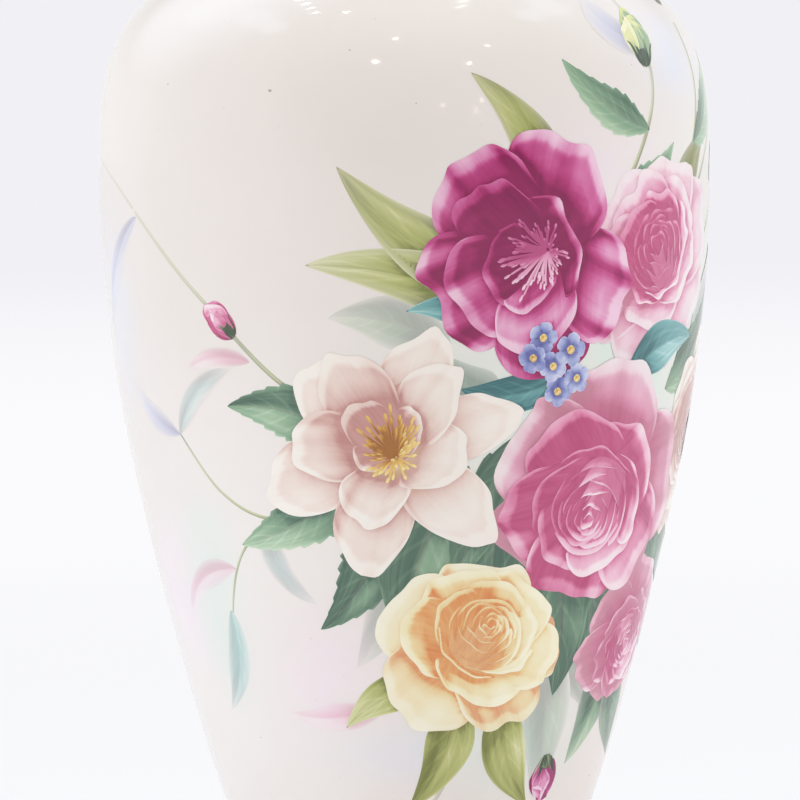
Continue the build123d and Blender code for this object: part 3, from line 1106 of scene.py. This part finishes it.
# %% kinds of flower
# A ring of petals is its count, turn, lift and share of the fading, then the petal's length, width,
# rise, cup, how far its corners are rounded off and its frill, and last what else differs.
KINDS = {}
# The magnolia is wide open: long petals in three loose rings, and golden stamens.
KINDS["magnolia"] = dict(floor=(5.0, 0.9), tuft=("golden_stamen", 54, 13.0, 56, 0.7, 1.25), rings=[
    (6, 14, 0, 0, 35, 25, [24, 10, -12], [0.03, 0.022, 0.012], 0.55, 0.9, dict(pointed=0.25, start=1.2)),
    (5, 44, 1, 0, 29, 24, [42, 40, 8], [0.05, 0.045, 0.03], 0.52, 0.8, dict(pointed=0.2, start=0.9)),
    (3, 75, 2, 0, 20, 17, [62, 62, 36], [0.08, 0.07, 0.05], 0.5, 0.6, dict(pointed=0.15, start=0.6))])
# The poppy is a bowl of broad frilled petals round a tuft of pale stamens.
KINDS["poppy"] = dict(floor=(5.0, 0.9), tuft=("pale_stamen", 64, 11.5, 48, 0.65, 1.0), rings=[
    (5, 30, 0, 0, 30, 33, [26, 20, -8], [0.03, 0.024, 0.012], 0.4, 1.3,
     dict(frills=2.4, notch=0.04, roll=0.1)),
    (4, 62, 1, 0, 25, 29, [48, 46, 18], [0.05, 0.045, 0.025], 0.38, 1.1, dict(frills=2.2, roll=0.1)),
    (3, 20, 2, 0, 17, 21, [64, 66, 40], [0.08, 0.07, 0.05], 0.36, 0.8, dict(frills=2.0))])
# The peony is soft and double: broad notched petals close over the middle like a ball. Its heart, as
# that of the rose, is rolled: wraps as number of petals, radius and height, and the frill of the rims.
KINDS["peony"] = dict(floor=(9.0, 0.6), rings=[
    (6, 8, 0, 1, 29, 33, [30, 14, -16], [0.03, 0.028, 0.02], 0.36, 1.2, dict(frills=2.8, notch=0.06)),
    (5, 40, 1.5, 0.5, 26, 29, [48, 42, 12], [0.05, 0.05, 0.04], 0.36, 1.0, dict(frills=2.6, notch=0.05)),
    (5, 75, 3, 0, 19.5, 24, [64, 62, 40], [0.07, 0.07, 0.06], 0.36, 0.8, dict(notch=0.05, start=5.0))],
    heart=([(5, 9.8, 16.0), (4, 7.0, 18.0), (3, 4.6, 19.0), (2, 2.2, 20.0)], 0.06))
# The garden rose has open outer petals, then closer and closer cups round its rolled heart.
KINDS["rose"] = dict(floor=(9.0, 0.5), rings=[
    (5, 10, 0, 1, 27, 32, [30, 12, -24], [0.03, 0.03, 0.02], 0.42, 0.7, dict(roll=0.3, notch=0.03)),
    (5, 46, 1.5, 0, 24, 28, [46, 36, 2], [0.05, 0.045, 0.035], 0.38, 0.6, dict(roll=0.25, start=1.4)),
    (5, 80, 3, 0, 17.5, 24, [62, 60, 36], [0.08, 0.07, 0.06], 0.34, 0.45, dict(roll=0.2, start=5.0))],
    heart=([(4, 9.2, 15.0), (4, 6.8, 17.0), (3, 4.7, 18.3), (3, 2.8, 19.2), (2, 1.2, 19.8)], 0.02))
BUD_RINGS = [
    (3, 40, 0, 0, 17.5, 19, [58, 92, 108], [0.16, 0.17, 0.2], 0.45, 0.2, dict(pointed=0.3, start=1.0)),
    (4, 0, 0, 0, 14.5, 15, [44, 88, 88], [0.15] * 3, 0.45, 0.35, dict(pointed=0.2, roll=0.25, start=1.4))]
# The swelling under a bud, and the leaflets that hold it.
SEPAL_RINGS = [
    (6, 0, 0, 0, 5.0, 4.2, [125, 95, 60], [0.4] * 3, 0.3, 0.0, dict(base=0.7, start=1.2, rows=10, cols=9)),
    (4, 24, 0, 0, 8.5, 2.9, [20, 74, 20], [0.3, 0.3, 0.2], 0.8, 0.5,
     dict(base=0.6, pointed=0.8, start=1.4, rows=22, cols=9))]


def flower(kind, name, enamel, spot, pose, size, fade=0.0):
    """Lays a flower: its rings of petals, the floor of its heart, and a rolled heart or stamens."""
    made_of = KINDS[kind]
    bloom = Painting(name, enamel, *spot)
    add_rings(bloom, pose, size, made_of["rings"], fade)
    heart_floor(bloom, pose, size, *made_of["floor"])
    if "heart" in made_of:
        rolled_heart(bloom, pose, size, *made_of["heart"])
    lay(bloom)
    if "tuft" in made_of:
        stamens(name + "_stamens", spot, pose, size, *made_of["tuft"])


def bud(name, enamel, spot, pose, size):
    """A closed bud, seen from the side: a few petals wrapped round each other, in its sepals."""
    sepals = (name + "_sepals", "dark_sepal", SEPAL_RINGS)
    for part_name, part_enamel, rings in ((name, enamel, BUD_RINGS), sepals):
        part = Painting(part_name, part_enamel, *spot)
        add_rings(part, pose, size, rings)
        lay(part)


def small_flowers(name, enamel, centre, places, size=1.0):
    """A spray of five-petalled flowers, each with a yellow eye, at (across, up) places in mm."""
    spray = Painting(name, enamel, *centre)
    eyes = Painting(name + "_eyes", "golden_stamen", *centre)
    for across_mm, up_mm in places:
        pose = (34.0 * chances.random(), 360.0 * chances.random())
        shift = np.array([across_mm, up_mm, 0.0])
        turn = 72.0 * chances.random()
        grow = size * (0.8 + 0.4 * chances.random())
        for number in range(5):
            chance = chances.random()
            points, across, along = petal(
                4.6 * grow, 5.2 * grow, [30, 10, -10], [0.1, 0.1, 0.08], chance,
                base=0.3, round_off=0.42, frill=0.15, start=0.5, rows=12, cols=11)
            spray.add(facing(turned(points, turn + 72.0 * number), *pose) + shift, across, along, chance)
        for number in range(5):
            points, across, along = petal(
                1.5 * grow, 1.6 * grow, [60, 20, -40], [0.3] * 3, 0.5,
                base=0.6, round_off=0.3, frill=0.0, start=0.0, rows=6, cols=5)
            eyes.add(facing(turned(points, 72.0 * number), *pose) + shift, across, 0.7 + 0.3 * along, 0.5)
    lay(spray)
    lay(eyes)


print("kinds of flower:", ", ".join(KINDS))

# %% [markdown]
# ## Leaves and stems
# A leaf is a blade along a bent midrib. It may fold along the rib, and it may twist, so that past a
# quarter turn it shows its paler back. Saw teeth make a rose leaf. A stem is a long thin blade with
# a round section. Both are given by places on the vase, as angle from the front and height.

# %% leaves and stems
LEAF_ARCH = 3.0
LEAF_WAVE = 0.6
LEAF_STACK = 3.5
WIDEST_AT = 0.42


def plan_spot(painting, degrees, height):
    """A place on the vase in a painting's own plan, in mm."""
    up = level(height) - painting.along
    radius = float(np.interp(painting.along + up, FINE, fine_radius))
    return np.array([(math.radians(degrees) - painting.angle) * radius, up])


def flanks_of(heading):
    """The way to the left of each step of a line."""
    return np.stack([-heading[:, 1], heading[:, 0]], axis=1)[:, None, :]


def leaf(painting, start, end, width, bow, twist, lift, fold=0.25, teeth=0, fade=0.0, soft=0.0):
    """One leaf from its stalk to its tip; bow bends it sideways by so many mm."""
    chance = chances.random()
    base, tip = plan_spot(painting, *start), plan_spot(painting, *end)
    run = tip - base
    side = np.array([-run[1], run[0]]) / np.linalg.norm(run)
    middle = (base + tip) / 2 + side * bow * 2.0
    v = np.linspace(0.0, 1.0, 6 * teeth + 1 if teeth else 46)[:, None]
    u = np.linspace(-1.0, 1.0, 21)[None, :]
    rib = base * (1 - v) ** 2 + middle * 2 * v * (1 - v) + tip * v ** 2
    heading = 2 * (1 - v) * (middle - base) + 2 * v * (tip - middle)
    heading = heading / np.linalg.norm(heading, axis=1, keepdims=True)
    profile = np.sin(np.pi * v ** (math.log(0.5) / math.log(WIDEST_AT))) ** 0.85
    profile = profile * (1.0 + 0.06 * np.sin(9.0 * v + chance * 20.0))
    across = 0.5 * width * u * profile
    if teeth:
        saw = (v * teeth) % 1.0
        across = across * (1.0 + 0.16 * np.abs(u) ** 5 * (saw - 0.35))
    angle = np.radians(twist[0] + (twist[1] - twist[0]) * v)
    ripple = LEAF_WAVE * np.sin(7.0 * v + 20.0 * chance + 2.0 * u) * np.abs(u) ** 1.5 * profile
    bend = fold * np.abs(across) + ripple
    flat = across * np.cos(angle) - bend * np.sin(angle)
    depth = across * np.sin(angle) + bend * np.cos(angle) + LEAF_ARCH * np.sin(np.pi * v) + lift
    plan = rib[:, None, :] + flanks_of(heading) * flat[..., None]
    u, v = u + np.zeros_like(across), v + np.zeros_like(across)
    paled = fade + soft * np.maximum(np.abs(u) ** 3, np.clip(2 * v - 1, 0, 1) ** 2)
    grid = np.concatenate([plan, depth[..., None]], axis=-1)
    painting.add(grid, u, v, chance, np.clip(paled, 0.0, 1.0))


def stem(painting, spots, width, end_width, fade, end_fade):
    """A stem through a few places on the vase."""
    chance = chances.random()
    plan = np.array([plan_spot(painting, *spot) for spot in spots])
    padded = np.vstack([2 * plan[0] - plan[1], plan, 2 * plan[-1] - plan[-2]])
    line = []
    for before, first, second, after in zip(padded, padded[1:], padded[2:], padded[3:]):
        for t in np.linspace(0.0, 1.0, 16, endpoint=False):
            line.append(0.5 * (2 * first + (second - before) * t
                               + (2 * before - 5 * first + 4 * second - after) * t ** 2
                               + (3 * first - before - 3 * second + after) * t ** 3))
    line = np.array(line + [plan[-1]])
    heading = np.gradient(line, axis=0)
    heading /= np.linalg.norm(heading, axis=1, keepdims=True)
    u, v = unit_sheet(len(line), 7)
    half = 0.5 * (width + (end_width - width) * v)
    bulge = half * np.sqrt(1.0 - 0.96 * u ** 2)
    plan = line[:, None, :] + flanks_of(heading) * (half * u)[..., None]
    grid = np.concatenate([plan, bulge[..., None]], axis=-1)
    painting.add(grid, u, v, chance, fade + (end_fade - fade) * v)


def leaves(name, enamel, blades, **shared):
    """Lays leaves: the stalk's angle and height, the tip's, width, bow, twist at both ends, and more."""
    group = Painting(name, enamel, *blades[0][:2])
    for number, (angle, height, tip_angle, tip_height, width, bow, *twist_and_more) in enumerate(blades):
        twist, more = twist_and_more[:2], dict(*twist_and_more[2:])
        leaf(group, (angle, height), (tip_angle, tip_height), width, bow, twist, LEAF_STACK * number,
             **{**shared, **more})
    lay(group)


def stems(name, lines):
    """Lays stems: places as angle and height, width at the start and the end, and fading there."""
    group = Painting(name, "pale_stem", *lines[0][0][0])
    for line in lines:
        stem(group, *line)
    lay(group)

# %% [markdown]
# ## The spray
# The painted front is a loose garden spray that winds down the vase: buds on the shoulder, a deep
# red-violet poppy before a faint peony, a pale magnolia in the middle, a pink rose that turns the
# corner with a cream rose and a second peony beyond it, and a yellow rose low down. Faint leaves
# and stems go first, since they lie deepest, then the full leaves, and last the flowers from the
# back of the spray to the front.

# %% stems and faint leaves
stems("trailing_stems", [
    ([(-8, 172), (-24, 186), (-42, 214), (-66, 246), (-96, 262)], 1.7, 1.0, 0.0, 1.0),
    ([(-14, 150), (-28, 143), (-40, 150), (-50, 168)], 1.4, 0.7, 0.1, 0.4),
    ([(-28, 143), (-38, 130), (-44, 108), (-45, 86)], 1.2, 0.6, 0.2, 0.6)])
stems("shoulder_stems", [
    ([(34, 226), (46, 252), (52, 276), (50, 300), (40, 318)], 1.9, 1.3, 0.0, 0.9),
    ([(44, 206), (62, 244), (70, 272), (71, 296)], 2.0, 1.4, 0.0, 0.2),
    ([(58, 226), (70, 246), (84, 272), (90, 298), (88, 320)], 1.9, 1.2, 0.0, 1.0),
    ([(58, 210), (78, 232), (96, 262), (104, 280)], 1.8, 1.3, 0.0, 0.2)])
stems("lower_stems", [
    ([(16, 96), (14, 72), (6, 50), (-6, 34)], 1.8, 1.2, 0.0, 1.0),
    ([(34, 110), (37, 88), (40, 68)], 1.8, 1.6, 0.0, 0.1),
    ([(50, 140), (62, 104), (68, 84), (74, 66)], 1.7, 1.1, 0.0, 1.0)])
leaves("faint_lilac_leaves", "lilac_blue", [
    (-58, 236, -76, 200, 9, -4, 0, 0, dict(fade=0.55)),
    (-50, 168, -66, 184, 8, 3, 0, 0),
    (54, 286, 40, 304, 9, 3, 0, 0)], fade=0.5, soft=0.5)
leaves("faint_green_leaves", "turquoise", [
    (-44, 112, -52, 78, 10, 4, 0, 0, dict(fade=0.45, soft=0.5)),
    (-30, 142, -20, 116, 9, -5, 0, 0),
    (-50, 168, -34, 190, 8, 4, 0, 0)], fade=0.6, soft=0.4)
leaves("faint_pink_leaves", "rose_pink", [
    (-40, 126, -60, 108, 10, -5, 0, 0, dict(fade=0.55)),
    (-30, 192, -46, 188, 7, -3, 0, 0, dict(soft=0.5)),
    (-6, 84, -32, 80, 10, 3, 0, 0)], fade=0.5, soft=0.45)
print(len(paintings), "pieces of stems and faint leaves")

# %% leaves at the back of the spray
leaves("shadow_leaves", "blue_green", [
    (8, 196, -14, 206, 16, -4, 0, 0),
    (20, 176, 4, 196, 20, 4, 0, 0, dict(fade=0.3)),
    (0, 150, -12, 96, 19, 5, 0, 0, dict(fade=0.5)),
    (34, 130, 58, 74, 22, -5, 0, 0),
    (30, 110, 38, 50, 20, 4, 0, 0, dict(fade=0.5)),
    (70, 186, 104, 226, 22, 6, 0, 0),
    (74, 156, 108, 120, 21, -5, 0, 0)], fade=0.45, soft=0.4)
leaves("olive_leaves", "olive", [
    (22, 212, -12, 252, 20, 6, 10, 40, dict(fold=0.15)),
    (22, 204, -18, 222, 18, -5, -20, 25, dict(fold=0.2)),
    (28, 236, 12, 280, 14, -5, 30, -30, dict(soft=0.3)),
    (58, 226, 74, 262, 15, 5, -20, 40)], soft=0.35)
leaves("shoulder_leaves", "blue_green", [
    (50, 262, 30, 284, 13, 4, 30, -30, dict(teeth=8)),
    (67, 258, 86, 290, 15, -5, 20, -40),
    (38, 236, 58, 258, 15, -4, 10, -40),
    (80, 246, 104, 252, 13, 4, -20, 40, dict(teeth=8))], teeth=9)
flower("peony", "back_peony", "rose_pink", (56, 216), (26, 120), 1.3, 0.45)
leaves("left_rose_leaves", "blue_green", [
    (-10, 158, -37, 134, 18, 4, -10, 30),
    (-10, 168, -36, 178, 17, -4, 25, -20),
    (-4, 150, -20, 108, 18, 5, 20, -30)], teeth=10)
leaves("right_leaves", "blue_green", [
    (60, 180, 84, 212, 19, -5, -30, 30, dict(teeth=9)),
    (84, 170, 112, 184, 18, 5, -30, 30, dict(teeth=9)),
    (84, 150, 114, 146, 18, -5, 20, -50),
    (66, 150, 92, 112, 20, -5, 20, -50),
    (52, 150, 74, 92, 22, 6, -15, 40, dict(teeth=11)),
    (46, 140, 54, 84, 21, -5, 25, -20, dict(fold=0.3, teeth=0))], teeth=10)
leaves("middle_leaves", "blue_green", [
    (12, 160, 0, 100, 24, -6, -25, 25),
    (26, 150, 38, 84, 27, 6, 25, -35),
    (16, 164, 16, 100, 22, 3, 10, 50, dict(fold=0.2)),
    (24, 170, 10, 122, 18, -3, -30, 10, dict(fold=0.25)),
    (20, 150, 26, 96, 19, 4, -20, 20)], fold=0.3)
leaves("turquoise_leaves", "turquoise", [
    (24, 196, 0, 208, 15, -5, -15, 45),
    (30, 188, 10, 184, 13, 4, 20, -30),
    (46, 186, 70, 196, 15, 4, 20, -30)], fold=0.2)
leaves("low_right_leaves", "blue_green", [
    (56, 100, 48, 60, 17, 4, -15, 30, dict(fold=0.3, soft=0.3)),
    (64, 96, 76, 58, 17, -4, 15, -30, dict(fold=0.3, soft=0.3)),
    (72, 106, 96, 88, 16, 4, -15, 30, dict(teeth=9))])
leaves("lower_leaves", "olive", [
    (10, 92, -16, 76, 14, -4, -20, 40),
    (12, 88, 0, 50, 15, 4, 25, -25),
    (24, 86, 36, 48, 16, -4, -20, 35)])
print(len(paintings), "pieces with the full leaves")

# %% flowers, from the back of the spray to the front
bud("shoulder_bud", "bud_yellow", (51, 282), (78, 92), 1.15)
bud("second_bud", "rose_pink", (71, 302), (80, 80), 0.9)
bud("side_bud", "rose_pink", (105, 284), (80, 66), 0.9)
bud("trailing_bud", "rose_pink", (-33, 200), (80, 140), 0.85)
bud("lower_bud", "magenta", (40, 64), (78, 275), 0.95)
flower("peony", "lower_peony", "rose_pink", (62, 104), (30, 300), 0.92, 0.35)
flower("rose", "side_rose", "blush_cream", (84, 162), (24, 160), 1.3)
flower("poppy", "magenta_poppy", "magenta", (26, 226), (30, 210), 1.42)
flower("rose", "pink_rose", "rose_pink", (44, 156), (30, 250), 1.65, 0.3)
flower("rose", "yellow_rose", "straw_yellow", (14, 98), (32, 60), 1.25, 0.2)
flower("magnolia", "cream_magnolia", "blush_cream", (-2, 163), (22, 120), 1.25)
small_flowers("blue_flowers", "lilac_blue", (28, 190), [(0, 0), (6, 5), (-7, 3), (2, -8), (9, -4), (-4, 9)])
print(f"{len(paintings)} pieces on the front")

# %% [markdown]
# The back carries a small echo of the spray, as such vases usually do, so that no side is bare.

# %% the sprig on the back
stems("back_stems", [
    ([(180, 196), (176, 172), (184, 150), (196, 132)], 1.7, 1.0, 0.0, 1.0),
    ([(180, 200), (192, 222), (198, 252)], 1.6, 1.2, 0.0, 0.2),
    ([(178, 200), (162, 216), (152, 226)], 1.5, 1.0, 0.0, 0.3)])
leaves("back_leaves", "blue_green", [
    (178, 196, 158, 178, 15, 4, -10, 30, dict(teeth=9)),
    (182, 194, 204, 180, 15, -4, 25, -20, dict(teeth=9)),
    (184, 204, 206, 216, 13, 4, 20, -30, dict(teeth=8))])
leaves("back_faint_leaves", "turquoise", [
    (178, 172, 160, 152, 11, 4, 0, 0),
    (194, 224, 212, 236, 10, 4, 0, 0)], fade=0.5, soft=0.45)
bud("back_bud", "magenta", (198, 250), (80, 78), 0.9)
flower("rose", "back_rose", "rose_pink", (180, 200), (28, 110), 0.95, 0.3)
small_flowers("back_blue_flowers", "lilac_blue", (150, 228), [(0, 0), (6, 4), (-6, 3), (1, -6)], 0.9)
press_paintings()
